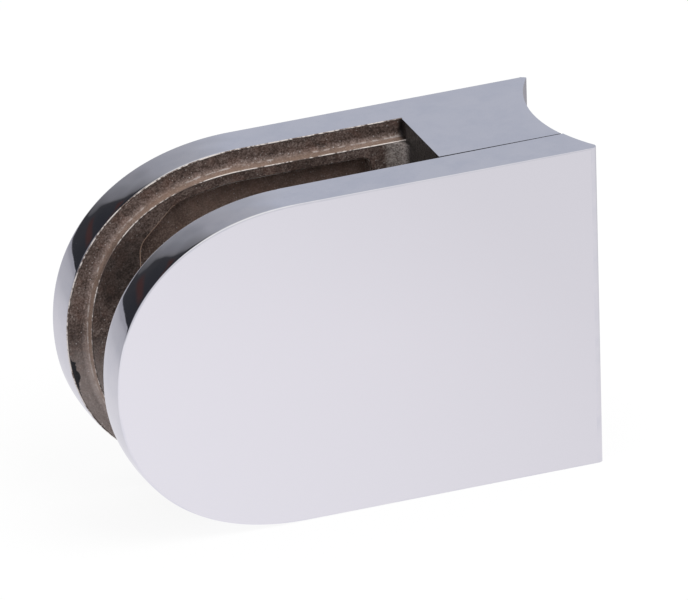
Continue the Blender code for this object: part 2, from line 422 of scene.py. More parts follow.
def combine(item: bpy.types.Object, tool: bpy.types.Object, fit: Fit) -> None:
    """Cut a tool from an object or join it on, and throw the tool away."""
    apply_modifier(item, "BOOLEAN", operation=fit.value, solver="EXACT", object=tool)
    bpy.data.objects.remove(tool, do_unlink=True)


def near(value: float, target: float, reach: float = SAME_PLACE) -> bool:
    """Tell whether two lengths are the same to within a reach."""
    return abs(value - target) < reach


def cylinder(radius: float, start: Vector, end: Vector, sides: int) -> bpy.types.Object:
    """Add a cylinder between two points.

    Args:
        radius: Its radius.
        start: The middle of one end.
        end: The middle of the other end.
        sides: How many sides it has.

    Returns:
        The cylinder, with its place in its mesh.
    """
    axis = end - start
    bpy.ops.mesh.primitive_cylinder_add(
        vertices=sides,
        radius=radius,
        depth=axis.length,
        location=(start + end) / 2,
        rotation=axis.to_track_quat("Z", "Y").to_euler(),
    )
    bpy.ops.object.transform_apply(location=True, rotation=True, scale=True)
    return bpy.context.object


def block(low: Vector, high: Vector) -> bpy.types.Object:
    """Add a box between two corners.

    Args:
        low: The corner with the lowest X, Y and Z.
        high: The corner across from it.

    Returns:
        The box, with its place in its mesh.
    """
    bpy.ops.mesh.primitive_cube_add(size=1.0, location=(low + high) / 2, scale=high - low)
    bpy.ops.object.transform_apply(location=True, rotation=True, scale=True)
    return bpy.context.object


@dataclass(frozen=True)
class Round:
    """How edges are rounded: how far on each side, in how many faces, and which finish these get."""

    width: float
    steps: int
    zone: Zone | None = None

    def bevel(self) -> None:
        """Round the selected edges."""
        slot = -1 if self.zone is None else self.zone.value
        bpy.ops.mesh.bevel(offset=self.width, segments=self.steps, clamp_overlap=False, material=slot)


def sharp(edge: bmesh.types.BMEdge) -> bool:
    """Tell whether an edge is a real corner."""
    return len(edge.link_faces) == 2 and edge.calc_face_angle() > SMOOTH_ANGLE


def level(part: bmesh.types.BMEdge | bmesh.types.BMFace, y: float, reach: float = SAME_PLACE) -> bool:
    """Tell whether an edge or a face lies in a plane across Y, to within a reach."""
    return all(near(point.co.y, y, reach) for point in part.verts)


def on_rim(face: bmesh.types.BMFace) -> bool:
    """Tell whether a face looks outwards from the outline, and not along Y."""
    return abs(face.normal.y) < cos(SMOOTH_ANGLE)


def shade(item: bpy.types.Object) -> None:
    """Shade a finished piece: smooth over its rounds, and truly flat on its large faces.

    Args:
        item: The piece.
    """
    pick(item)
    bpy.ops.object.shade_smooth_by_angle(angle=SMOOTH_ANGLE)
    apply_modifier(item, "WEIGHTED_NORMAL", keep_sharp=True)
    edit(item)
    select(item, Element.FACE, lambda face: abs(face.normal.y) > FLAT and face.calc_area() > LARGE_FACE)
    bpy.ops.mesh.set_normals_from_faces(keep_sharp=True)
    leave_edit()


@dataclass(frozen=True)
class DOutline:
    """The D that both castings follow, drawn as one closed curve with a superellipse nose."""

    sizes: Sizes = SIZES
    arc_steps: int = 72

    def ring(self, name: str, line: DLine, end_x: float, y: float) -> bpy.types.Object:
        """Draw the outline as a closed ring of edges.

        Args:
            name: The new object's name.
            line: Which of the D-shaped lines it follows.
            end_x: Where it ends square.
            y: The plane it lies in.

        Returns:
            The ring, in the plane across Y.
        """
        s = self.sizes
        length = line.nose_length
        rise = line.rise
        # A quarter of a superellipse is one curve segment whose handles are this share of its sides
        handle = (8 * 2 ** (-1 / line.power) - 4) / 3
        turn_x = s.nose_x + s.nose_length
        tip_x = turn_x - length
        bpy.ops.curve.primitive_bezier_circle_add(location=(0.0, 0.0, 0.0))
        drawing = bpy.context.object
        drawing.name = name
        drawing.data.resolution_u = self.arc_steps
        spline = drawing.data.splines[0]
        spline.bezier_points.add(1)
        straight = None
        corners = [
            ((tip_x, 0.0), (tip_x, -handle * rise), (tip_x, handle * rise)),
            ((turn_x, rise), (turn_x - handle * length, rise), straight),
            ((end_x, rise), straight, straight),
            ((end_x, -rise), straight, straight),
            ((turn_x, -rise), straight, (turn_x - handle * length, -rise)),
        ]
        for point, (place, left, right) in zip(spline.bezier_points, corners):
            point.handle_left_type = "FREE" if left else "VECTOR"
            point.handle_right_type = "FREE" if right else "VECTOR"
            point.co = (*place, 0.0)
            if left:
                point.handle_left = (*left, 0.0)
            if right:
                point.handle_right = (*right, 0.0)
        bpy.ops.object.convert(target="MESH")
        drawing = bpy.context.object
        drawing.rotation_euler = (pi / 2, 0.0, 0.0)
        drawing.location = (0.0, y, s.middle_z)
        bpy.ops.object.transform_apply(location=True, rotation=True, scale=True)
        return drawing

    def slab(
        self,
        name: str,
        line: DLine,
        end_x: float,
        start_y: float,
        stop_y: float,
        slices: int = 1,
        crown: float = 0.0,
    ) -> bpy.types.Object:
        """Extrude the outline to a closed slab, whose rim may be crowned round the nose.

        Args:
            name: The new object's name.
            line: Which of the D-shaped lines it follows.
            end_x: Where it ends square.
            start_y: The plane of one face.
            stop_y: The plane of the other face.
            slices: How many bands the rim has.
            crown: How far the polished rim falls away at its two edges round the nose.

        Returns:
            The slab, its faces pointing out.
        """
        slab = self.ring(name, line, end_x, start_y)
        edit(slab)
        for _ in range(slices):
            extrude((0.0, (stop_y - start_y) / slices, 0.0))
        bpy.ops.mesh.select_all(action="SELECT")
        bpy.ops.mesh.normals_make_consistent(inside=False)
        leave_edit()
        if slab.data.polygons[0].normal.dot(slab.data.polygons[0].center - self.centre(start_y)) < 0:
            edit(slab)
            bpy.ops.mesh.flip_normals()
            leave_edit()
        if crown:
            self.crown_rim(slab, start_y, stop_y, crown)
        edit(slab)
        for plane in (start_y, stop_y):
            select(slab, Element.POINT, lambda point: near(point.co.y, plane))
            bpy.ops.mesh.edge_face_add()
        bpy.ops.mesh.select_all(action="SELECT")
        bpy.ops.mesh.normals_make_consistent(inside=False)
        leave_edit()
        return slab

    def centre(self, y: float) -> Vector:
        """A point well inside the outline."""
        return Vector((self.sizes.nose_x + self.sizes.nose_length, y, self.sizes.middle_z))

    def crown_rim(self, slab: bpy.types.Object, start_y: float, stop_y: float, crown: float) -> None:
        """Let the rim fall away to its two edges, most at the nose and not at all from the slot's end.

        Args:
            slab: The open band, not capped yet.
            start_y: The plane of one edge.
            stop_y: The plane of the other edge.
            crown: How far the edges fall away.
        """
        s = self.sizes
        group = slab.vertex_groups.new(name="crown")
        for point in slab.data.vertices:
            across = (2 * point.co.y - start_y - stop_y) / (stop_y - start_y)
            along = (s.slot_end_x - point.co.x) / (s.slot_end_x - s.nose_x - s.nose_length / 2)
            along = min(max(along, 0.0), 1.0)
            group.add([point.index], across**2 * along**2 * (3 - 2 * along), "REPLACE")
        apply_modifier(slab, "DISPLACE", vertex_group="crown", mid_level=0.0, strength=-crown)
        slab.vertex_groups.clear()


@dataclass
class Jaw:
    """What the two castings share: wall, land, gasket pocket, saddle, holes and rounded edges.

    Each says where its planes across Y lie: the polished face, the cast border, the land's top, and the end
    of its part of the block.
    """

    finishes: dict[Zone, bpy.types.Material]
    name: str
    wall_y: float
    border_y: float
    land_y: float
    block_y: float
    land_end_x: float
    foot: Round
    sizes: Sizes = SIZES
    outline: DOutline = field(default_factory=DOutline)
    rim_slices: int = 10
    rim_crown: float = 0.15 * MM
    horn_edge: Round = Round(0.9 * MM, 5, Zone.HAND_BUFFED)
    outer_edge: Round = Round(0.24 * MM, 4, Zone.HAND_BUFFED)
    hole_edge: Round = Round(0.2 * MM, 2, Zone.FETTLED)
    inner_edge: Round = Round(0.17 * MM, 2, Zone.RUBBED_EDGE)
    crest: Round = Round(0.16 * MM, 3, Zone.RUBBED_EDGE)
    pocket_corner: Round = Round(1.1 * MM, 8)
    lip_facing: Span = (0.2, 0.98)
    lip_reach: float = 5.04 * MM
    saddle_sides: int = 720
    hole_sides: int = 72

    @property
    def inward(self) -> float:
        """The way from the wall to the slot along Y, 1 or -1."""
        return copysign(1.0, self.land_y - self.border_y)

    def assign(self, item: bpy.types.Object, zone: Zone) -> None:
        """Give the selected faces the finish of a zone."""
        item.active_material_index = zone.value
        bpy.ops.object.material_slot_assign()

    def paint(self, item: bpy.types.Object, zone: Zone, test: Callable[..., bool]) -> None:
        """Select in edit mode the faces that pass a test, and give them the finish of a zone."""
        select(item, Element.FACE, test)
        self.assign(item, zone)

    def coat(self, item: bpy.types.Object, zone: Zone) -> bpy.types.Object:
        """Give an object a slot for each finish, and all its faces the same one.

        Args:
            item: The object.
            zone: The finish of its faces.

        Returns:
            The same object.
        """
        item.data.materials.clear()
        for each in Zone:
            item.data.materials.append(self.finishes[each])
        edit(item)
        self.assign(item, zone)
        leave_edit()
        return item

    def wall(self) -> bpy.types.Object:
        """Model the D-shaped wall and its part of the block behind the slot.

        Returns:
            The wall, polished outside and as cast in the slot.
        """
        s = self.sizes
        low, high = sorted((self.border_y, self.block_y))

        def behind_slot(face: bmesh.types.BMFace) -> bool:
            """Tell whether a face lies behind the slot."""
            return min(point.co.x for point in face.verts) > s.slot_end_x - SAME_PLACE

        def round_block(face: bmesh.types.BMFace) -> bool:
            """Tell whether a face goes round the block, but isn't in the slot."""
            inside = all(low - SAME_PLACE < point.co.y < high + SAME_PLACE for point in face.verts)
            return inside and behind_slot(face) and face.normal.x > -cos(SMOOTH_ANGLE)

        jaw = self.outline.slab(
            self.name, OUTER, s.horn_x, self.wall_y, self.border_y, self.rim_slices, self.rim_crown
        )
        self.coat(jaw, Zone.WHEEL_POLISHED)
        edit(jaw)
        self.paint(jaw, Zone.HAND_BUFFED, on_rim)
        self.paint(jaw, Zone.AS_CAST, lambda face: level(face, self.border_y))
        bpy.ops.mesh.bisect(plane_co=(s.slot_end_x, 0.0, 0.0), plane_no=(1.0, 0.0, 0.0))
        select(jaw, Element.FACE, lambda face: level(face, self.border_y) and behind_slot(face))
        extrude((0.0, self.block_y - self.border_y, 0.0))
        self.paint(jaw, Zone.HAND_BUFFED, round_block)
        # The block's end face lines the seam between the jaws: its dark cast finish is painted shade, so the
        # seam shows dark
        self.paint(jaw, Zone.AS_CAST, lambda face: level(face, self.block_y))
        leave_edit()
        return jaw

    def add_land(self, jaw: bpy.types.Object) -> None:
        """Join the raised land on, with its crest and its foot a little rounded.

        Args:
            jaw: The casting.
        """
        s = self.sizes

        def at_foot(edge: bmesh.types.BMEdge) -> bool:
            """Tell whether an edge lies on the line where the land rises.

            Args:
                edge: The edge.

            Returns:
                True for an edge of that line.
            """
            places = [point.co for point in edge.verts]
            return level(edge, self.border_y) and all(
                place.x < s.slot_end_x + SAME_PLACE and LAND.holds(place, s.land_foot_round / 2)
                for place in places
            )

        root_y = self.border_y - self.inward * OVERRUN
        land = self.outline.slab("land", LAND, self.land_end_x, root_y, self.land_y)
        self.coat(land, Zone.AS_CAST)
        edit(land)
        self.paint(land, Zone.CAST_ROUND, on_rim)
        select(land, Element.EDGE, lambda edge: level(edge, self.land_y))
        self.crest.bevel()
        leave_edit()
        combine(jaw, land, Fit.JOIN)
        edit(jaw)
        select(jaw, Element.EDGE, at_foot)
        self.foot.bevel()
        leave_edit()

    def pocket(self) -> bpy.types.Object:
        """Model the gasket pocket's room: the land's inner line, cut off square towards the nose.

        Returns:
            The room, reaching out of the land.
        """
        s = self.sizes
        open_y = self.land_y + self.inward * OVERRUN
        floor_y = self.land_y - self.inward * s.pocket_depth
        room = self.outline.slab("pocket", LIP, s.slot_end_x - s.pocket_post_margin, open_y, floor_y)
        self.coat(room, Zone.AS_CAST)
        edit(room)
        nose_end = s.pocket_nose_x
        corner = LIP.half_height(nose_end) - s.pocket_corner_cut / 2
        for side, height in ((0, 0.0), (1, corner), (-1, -corner)):
            bpy.ops.mesh.select_all(action="SELECT")
            bpy.ops.mesh.bisect(
                plane_co=(nose_end, 0.0, s.middle_z + height),
                plane_no=(1.0, 0.0, -side),
                use_fill=True,
                clear_inner=True,
            )
        select(
            room,
            Element.EDGE,
            lambda edge: sharp(edge)
            and near(edge.verts[0].co.x, edge.verts[1].co.x)
            and near(edge.verts[0].co.z, edge.verts[1].co.z),
        )
        self.pocket_corner.bevel()
        leave_edit()
        return room

    def saddle(self, proud: float = 0.0) -> bpy.types.Object:
        """Model the post's own cylinder, which hollows both jaws.

        Args:
            proud: How much less deep the hollow is.

        Returns:
            The cylinder.
        """
        s = self.sizes
        low = Vector((s.tube_axis_x + proud, 0.0, -OVERRUN))
        high = low + Vector((0.0, 0.0, s.height + 2 * OVERRUN))
        return self.coat(cylinder(s.tube_radius, low, high, self.saddle_sides), Zone.FETTLED)

    def bolt_head(self) -> bpy.types.Object:
        """Model the room for the post bolt's head, between the lands.

        Returns:
            The room.
        """
        s = self.sizes
        end = Vector((s.slot_end_x, 0.0, s.middle_z))
        start = end - Vector((s.bolt_head_length, 0.0, 0.0))
        return self.coat(cylinder(s.bolt_head_room / 2, start, end, self.hole_sides), Zone.AS_CAST)

    def screw_seat(self, screw: "ClampScrew") -> bpy.types.Object:
        """Model the room for one clamp screw, grown by its clearance and open at the back."""
        room = self.sizes.back_y - screw.high.y + OVERRUN
        return self.coat(screw.turned("screw_seat", self.sizes.screw_fit, room), Zone.FETTLED)

    def round_lines(self, jaw: bpy.types.Object) -> None:
        """Round the polished edges, the rim's glass side and the pocket's lip.

        Args:
            jaw: The casting.
        """
        s = self.sizes

        def at_horn(place: Vector) -> bool:
            """Tell whether a place lies at the horns' end."""
            return near(place.x, s.horn_x)

        def at_screw(place: Vector) -> bool:
            """Tell whether a place lies on a screw's hole."""
            return any(screw.holds(place) for screw in SCREWS)

        def off_screw(place: Vector) -> bool:
            """Tell whether a place lies clear of the screws' holes."""
            return not at_screw(place)

        def off_land(place: Vector) -> bool:
            """Tell whether a place lies in the slot, clear of the land."""
            return place.x < s.slot_end_x + SAME_PLACE and not LAND.holds(place, s.border_width / 2)

        def at_lip(place: Vector) -> bool:
            """Tell whether a place lies on the pocket's lip."""
            return LIP.holds(place, s.land_width / 2)

        edit(jaw)
        for edge_round, plane, test in (
            (self.horn_edge, self.wall_y, at_horn),
            (self.outer_edge, self.wall_y, off_screw),
            (self.hole_edge, self.wall_y, at_screw),
            (self.inner_edge, self.border_y, off_land),
            (self.inner_edge, self.land_y, at_lip),
        ):
            select(
                jaw,
                Element.EDGE,
                lambda edge: sharp(edge)
                and level(edge, plane)
                and all(test(point.co) for point in edge.verts),
            )
            edge_round.bevel()
        # The round at the pocket's nose end takes the cast-round finish for its painted highlight
        reach = self.inner_edge.width + SAME_PLACE
        nose_end = s.pocket_nose_x + self.lip_reach
        self.paint(
            jaw,
            Zone.CAST_ROUND,
            lambda face: self.lip_facing[0] < abs(face.normal.y) < self.lip_facing[1]
            and level(face, self.land_y, reach)
            and all(point.co.x < nose_end and at_lip(point.co) for point in face.verts),
        )
        leave_edit()

    def finish(self, jaw: bpy.types.Object, hollows: list[bpy.types.Object]) -> bpy.types.Object:
        """Cut the hollows and the screws' seats, round the edges, and clean and shade the mesh.

        Args:
            jaw: The casting.
            hollows: The rooms that are cut out of it.

        Returns:
            The finished casting.
        """
        for room in (*hollows, *map(self.screw_seat, SCREWS)):
            combine(jaw, room, Fit.CUT)
        self.round_lines(jaw)
        edit(jaw)
        bpy.ops.mesh.remove_doubles(threshold=SAME_PLACE / 10)
        bpy.ops.mesh.dissolve_degenerate(threshold=SAME_PLACE / 10)
        leave_edit()
        shade(jaw)
        return jaw


@dataclass
class BaseJaw(Jaw):
    """The casting that holds the far wall, the block behind the slot and most of the saddle."""

    name: str = "base_jaw_casting"
    wall_y: float = SIZES.back_y
    border_y: float = SIZES.border_y
    land_y: float = SIZES.land_y
    block_y: float = SIZES.block_y
    land_end_x: float = SIZES.slot_end_x + OVERRUN
    foot: Round = Round(SIZES.land_foot_round, 8, Zone.CAST_ROUND)

    def build(self) -> bpy.types.Object:
        """Model and dress the base jaw.

        Returns:
            The finished casting.
        """
        s = self.sizes
        jaw = self.wall()
        self.add_land(jaw)
        combine(jaw, self.slot_root(), Fit.JOIN)
        bolt_start = Vector((s.slot_end_x - OVERRUN, 0.0, s.middle_z))
        bolt_end = Vector((s.horn_x, 0.0, s.middle_z))
        bolt_way = self.coat(cylinder(s.bolt_hole / 2, bolt_start, bolt_end, self.hole_sides), Zone.FETTLED)
        return self.finish(jaw, [self.saddle(), self.pocket(), self.bolt_head(), bolt_way])

    def slot_root(self) -> bpy.types.Object:
        """Model the cast round between the land and the slot's end wall.

        Returns:
            The round, reaching into the land and the wall.
        """
        s = self.sizes
        radius = s.slot_root_round
        low = Vector((s.slot_end_x - radius, s.land_y - radius, s.border_width + self.crest.width))
        high = Vector((s.slot_end_x + OVERRUN, s.land_y + s.land_height / 2, s.height - low.z))
        root = block(low, high)
        start = low - Vector((0.0, 0.0, OVERRUN))
        end = Vector((low.x, low.y, high.z + OVERRUN))
        combine(root, cylinder(radius, start, end, self.hole_sides), Fit.CUT)
        return self.coat(root, Zone.AS_CAST)


@dataclass
class CoverJaw(Jaw):
    """The plate that closes the near side of the slot."""

    name: str = "cover_jaw_casting"
    wall_y: float = SIZES.front_y
    border_y: float = SIZES.cover_inner_y
    land_y: float = SIZES.cover_land_y
    # The halves are ground to meet at the post, so the seam that shows is finer than the solids' room
    block_y: float = SIZES.cover_inner_y + 0.03 * MM
    land_end_x: float = SIZES.slot_end_x - SIZES.cover_land_gap
    foot: Round = Round(min(SIZES.land_foot_round, SIZES.cover_land_gap), 8, Zone.CAST_ROUND)
    seam_taper: float = 0.14 * MM
    seam_groove: float = 0.7 * MM
    saddle_proud: float = 0.2 * MM

    def build(self) -> bpy.types.Object:
        """Model and dress the cover jaw.

        Returns:
            The finished casting.
        """
        jaw = self.wall()
        edit(jaw)
        select(
            jaw,
            Element.POINT,
            lambda point: near(point.co.x, self.sizes.horn_x) and near(point.co.y, self.block_y),
        )
        bpy.ops.transform.translate(value=(0.0, self.seam_taper, 0.0))
        leave_edit()
        self.add_land(jaw)
        combine(jaw, self.joint_face(), Fit.JOIN)
        return self.finish(jaw, [self.saddle(self.saddle_proud), self.pocket(), self.bolt_head()])

    def joint_face(self) -> bpy.types.Object:
        """Model the face that bears on the base jaw, so that the seam isn't open from side to side.

        Returns:
            The face's block, set in from the seam's edges.
        """
        s = self.sizes
        low = Vector((s.slot_end_x + self.seam_groove, self.border_y - OVERRUN / 4, self.seam_groove))
        high = Vector((s.tube_axis_x - s.tube_radius, s.block_y - SAME_PLACE, s.height - self.seam_groove))
        return self.coat(block(low, high), Zone.AS_CAST)


@dataclass(frozen=True)
class ClampScrew:
    """A countersunk clamp screw with a hexagon socket."""

    node: str
    low: Vector
    high: Vector
    head_rim: float = 0.3 * MM
    mouth_room: float = 0.6 * MM
    shank_radius: float = 3.0 * MM
    tip_chamfer: float = 0.6 * MM
    hex_socket: float = 4.0 * MM
    hex_depth: float = 2.3 * MM
    hex_sides: int = 6
    edge_round: Round = Round(0.12 * MM, 3)
    sides: int = 96

    @property
    def axis(self) -> Vector:
        """The middle of the screw, where its axis crosses X and Z."""
        return (self.low + self.high) / 2

    @property
    def head_radius(self) -> float:
        """The head's radius."""
        return (self.high.x - self.low.x) / 2

    def holds(self, place: Vector) -> bool:
        """Tell whether a place is within the screw's countersink, seen along Y."""
        return hypot(place.x - self.axis.x, place.z - self.axis.z) < self.head_radius + self.mouth_room

    def turned(self, name: str, grow: float, room: float) -> bpy.types.Object:
        """Model the screw's turned form, or the room for it.

        Args:
            name: The new object's name.
            grow: How much larger than the screw it is all round.
            room: How far it runs on past the head.

        Returns:
            The closed form, along Y.
        """
        head = self.head_radius + grow
        shank = self.shank_radius + grow
        top = self.high.y
        cone_y = top - self.head_rim
        shank_y = cone_y - (head - shank)
        tip_y = self.low.y - (OVERRUN / 4 if room else 0.0)
        start = Vector((self.axis.x, cone_y, self.axis.z))
        form = cylinder(head, start, Vector((self.axis.x, top + room, self.axis.z)), self.sides)
        form.name = name
        edit(form)
        select(form, Element.FACE, lambda face: level(face, cone_y))
        self.lengthen(cone_y, shank_y, shank / head)
        chamfer = 0.0 if room else self.tip_chamfer
        self.lengthen(shank_y, tip_y + chamfer, 1.0)
        if chamfer:
            self.lengthen(tip_y + chamfer, tip_y, (shank - chamfer) / shank)
        leave_edit()
        return form

    def lengthen(self, start_y: float, stop_y: float, taper: float) -> None:
        """Extrude the selected end along Y and scale it about the axis.

        Args:
            start_y: Where the end is.
            stop_y: Where it goes.
            taper: The share of its width that it keeps.
        """
        extrude((0.0, stop_y - start_y, 0.0))
        centre = (self.axis.x, stop_y, self.axis.z)
        bpy.ops.transform.resize(value=(taper, 1.0, taper), center_override=centre)

    def build(self, finish: bpy.types.Material) -> bpy.types.Object:
        """Model and dress the screw.

        Args:
            finish: The screw's material.

        Returns:
            The finished screw.
        """
        screw = self.turned(f"{self.node}_turned", 0.0, 0.0)
        top = Vector((self.axis.x, self.high.y, self.axis.z))
        radius = self.hex_socket / 2 / cos(pi / self.hex_sides)
        floor = top - Vector((0.0, self.hex_depth, 0.0))
        socket = cylinder(radius, floor, top + Vector((0.0, OVERRUN, 0.0)), self.hex_sides)
        combine(screw, socket, Fit.CUT)
        edit(screw)
        select(screw, Element.EDGE, lambda edge: level(edge, top.y) and sharp(edge))
        self.edge_round.bevel()
        leave_edit()
        screw.data.materials.clear()
        screw.data.materials.append(finish)
        shade(screw)
        return screw

    def copied(self, model: bpy.types.Object, first: "ClampScrew") -> bpy.types.Object:
        """Copy a finished screw to this one's place.

        Args:
            model: The finished screw.
            first: The sizes and place that it was built from.

        Returns:
            The copy, with a mesh of its own.
        """
        pick(model)
        bpy.ops.object.duplicate()
        copy = bpy.context.object
        copy.name = f"{self.node}_turned"
        copy.location = self.axis - first.axis
        bpy.ops.object.transform_apply(location=True, rotation=True, scale=True)
        return copy


SCREWS = [ClampScrew(node, *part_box(node)) for node in ("clamp_screw_upper", "clamp_screw_lower")]


@dataclass(frozen=True)
class MirrorPolish:
    """Cast stainless steel, ground and buffed to a mirror.

    The eye sees the room in it, a little softened, with the faint waves that buffing leaves. Faint bluish
    clouds can lie in it.
    """

    name: str
    colour: str = "#E4E3E6"
    cloud_colour: str = "#CDD0D9"
    clouds: float = 0.0
    cloud: float = 4.0 * MM
    cloud_span: Span = (0.42, 0.66)
    roughness: float = 0.07
    haze: float = 2.2 * MM
    haze_shares: Span = (0.8, 1.25)
    wave: float = 14.0 * MM
    wave_height: float = 0.004 * MM

    def build(self) -> bpy.types.Material:
        """Make the finish.

        Returns:
            Its material.
        """
        material, tree, place = new_material(self.name)
        colour = linear(self.colour)
        if self.clouds:
            clouds = add_node(tree, "TexNoise", sized(place, self.cloud, 4.0, 0.6))
            colour = lay(tree, colour, self.cloud_colour, clouds, self.cloud_span, (0.0, self.clouds))
        haze = add_node(tree, "TexNoise", sized(place, self.haze, 3.0))
        waves = add_node(tree, "TexNoise", sized(place, self.wave, 1.0))
        rough = [self.roughness * share for share in self.haze_shares]
        surface = {
            "Base Color": colour,
            "Metallic": 1.0,
            "Roughness": add_node(tree, "MapRange", (haze, 0.0, 1.0, *rough)),
            "Normal": add_node(tree, "Bump", {"Height": waves, "Distance": self.wave_height}),
        }
        feed(tree.nodes["Principled BSDF"], surface)
        return material


@dataclass(frozen=True)
class Mark:
    """An oval mark on the cast border, by its place from the nose's tip; some are painted light or shade."""

    place: Triple
    size: Triple
    turn: float
    ragged: float
    softness: float
    colour: str
    most: float = 1.0

    def lay(self, tree: bpy.types.NodeTree, place: Source, noise: Source, base: Source) -> bpy.types.Node:
        """Lay the mark over a colour.

        Args:
            tree: The node tree it goes in.
            place: The Object coordinates.
            noise: The noise that breaks up the mark's rim.
            base: The colour below.

        Returns:
            The mixed colour.
        """
        middle = Vector((SIZES.nose_x, SIZES.border_y, SIZES.middle_z)) + Vector(self.place)
        oval = (place, middle, (0.0, self.turn, 0.0), self.size)
        from_middle = add_node(tree, "Mapping", oval, vector_type="TEXTURE")
        reach = add_node(tree, "VectorMath", (from_middle,), operation="LENGTH")
        broken = add_node(tree, "Math", (noise, self.ragged, reach), operation="MULTIPLY_ADD")
        rim = 1.0 + self.ragged / 2
        return lay(tree, base, self.colour, broken, (rim - self.softness, rim), (self.most, 0.0))


@dataclass(frozen=True)
class AsCast:
    """Stainless steel as it comes from a shell mould, with the brown scale left on.

    The eye sees soft grit with a few painted glints on bare grains, in warm browns, with painted shade nearly
    black at the slot's end. Low on the nose the scale is greyer and lighter, partly thinner scale and partly
    painted light, and one smooth dark hollow lies there. A painted sheen lightens the scale on the round that
    rises to the land, with a broken painted highlight line along it. Painted light lifts the pocket's floor
    and the land at the slot's end, and painted shade darkens the land high on the nose.
    """

    name: str
    sheen: float = 0.0
    scale_stops: Stops = ((0.38, "#3B302C"), (0.47, "#564842"), (0.54, "#71625C"), (0.66, "#958781"))
    rust_colour: str = "#6E4A3A"
    sheen_colour: str = "#B99D8B"
    glint_colour: str = "#CFC9C6"
    pocket_light_colour: str = "#B79B8C"
    root_light_colour: str = "#CFC6C1"
    end_shade_colour: str = "#1B1817"
    grit: float = 0.24 * MM
    pit: float = 1.1 * MM
    patch: float = 4.0 * MM
    glint: float = 0.38 * MM
    grit_height: float = 0.05 * MM
    pit_height: float = 0.12 * MM
    mottle: Triple = (0.6, 0.22, 0.18)
    rust_span: Span = (0.5, 0.68)
    rust: float = 0.25
    pocket_light_shares: Span = (0.06, 0.28)
    pocket_light_fade: float = 10.0 * MM
    root_reach: float = 3.3 * MM
    root_spots: Span = (0.38, 0.64)
    root_shares: Span = (0.252, 0.896)
    end_shade_depth: float = 0.7 * MM
    end_shade: float = 0.9
    sheen_height: float = 0.85 * MM
    line_height: float = 0.42 * MM
    line_width: float = 0.12 * MM
    line_span: Span = (0.46, 0.6)
    line: float = 0.42
    top: float = 0.9
    top_fade: float = 0.15
    glint_span: Span = (0.08, 0.3)
    glint_chance: Span = (0.6, 1.0)
    glints: float = 0.8
    hollow: Mark = Mark(
        (0.9 * MM, 0.0, -5.3 * MM), (0.75 * MM, 9.0 * MM, 2.7 * MM), radians(-14), 1.6, 0.12, "#222327"
    )
    # Lighter, greyer scale low on the nose: partly thinner scale, partly painted light where the slot is open
    worn_and_lit: Mark = Mark(
        (3.0 * MM, 0.0, -14.5 * MM), (12.0 * MM, 9.0 * MM, 15.0 * MM), 0.0, 0.4, 0.4, "#A89D99", 0.66
    )
    # Painted shade on the land high on the nose, where the cover jaw shades it
    shaded: Mark = Mark(
        (7.5 * MM, -1.6 * MM, 9.5 * MM), (4.5 * MM, 1.2 * MM, 7.5 * MM), radians(25), 0.5, 0.6, "#1B1817", 0.6
    )
    metal: float = 0.3
    roughness: float = 0.5
    rough_span: Span = (0.35, 0.7)
    rough_shares: Span = (1.2, 0.75)

    def build(self) -> bpy.types.Material:
        """Make the finish.

        Returns:
            Its material.
        """
        material, tree, place = new_material(self.name)
        grit = add_node(tree, "TexNoise", sized(place, self.grit, 3.0, 0.65))
        pits = add_node(tree, "TexNoise", sized(place, self.pit, 3.0))
        patches = add_node(tree, "TexNoise", sized(place, self.patch, 3.0))
        blotches = add_node(tree, "TexNoise", sized(place, self.pit * 2, 2.0))
        mottle = 0.0
        for layer, part in zip((grit, pits, patches), self.mottle):
            mottle = add_node(tree, "Math", (layer, part, mottle), operation="MULTIPLY_ADD")
        scale = add_node(tree, "ValToRGB", (mottle,))
        set_stops(scale, self.scale_stops)
        colour = lay(tree, scale, self.rust_colour, blotches, self.rust_span, (0.0, self.rust))
        parts = add_node(tree, "SeparateXYZ", (place,)).outputs
        along = parts["X"]
        depth = add_node(tree, "Math", (parts["Y"],), operation="ABSOLUTE")
        foot, top, end, nose = SIZES.border_y, SIZES.land_y, SIZES.slot_end_x, SIZES.pocket_nose_x
        # Painted light on the pocket's floor, which the cover jaw shades; less of it towards the nose
        clear = add_node(tree, "MapRange", (along, nose, nose + self.pocket_light_fade, *self.pocket_light_shares))
        in_pocket = (foot + self.grit / 4, foot + self.grit / 2)
        colour = lay(tree, colour, self.pocket_light_colour, depth, in_pocket, (0.0, clear))
        # Painted light on the land's top and the round at the slot's end, broken up in spots
        spots = add_node(tree, "MapRange", (grit, *self.root_spots, *self.root_shares))
        ragged = add_node(tree, "Math", (pits, 3 * self.pit, along), operation="MULTIPLY_ADD")
        root_start = end - self.root_reach + 1.5 * self.pit
        at_end = add_node(tree, "MapRange", (ragged, root_start, root_start + self.pit, 0.0, spots))
        on_land = (top + self.grit / 2, top + self.grit)
        colour = lay(tree, colour, self.root_light_colour, depth, on_land, (at_end, 0.0))
        colour = self.worn_and_lit.lay(tree, place, pits, colour)
        if self.sheen:
            colour = self.with_sheen(tree, pits, depth, colour)
        colour = self.with_glints(tree, place, colour)
        colour = self.shaded.lay(tree, place, pits, colour)
        if self.sheen:
            # Painted highlight on the land, where this finish has only the round at the pocket's nose end
            fade = (along, nose + 2 * self.pit, nose + 4 * self.pit, self.top, self.top * self.top_fade)
            fading = add_node(tree, "MapRange", fade)
            on_top = (top + self.grit / 2, top + self.grit * 0.7)
            colour = lay(tree, colour, self.sheen_colour, depth, on_top, (fading, 0.0))
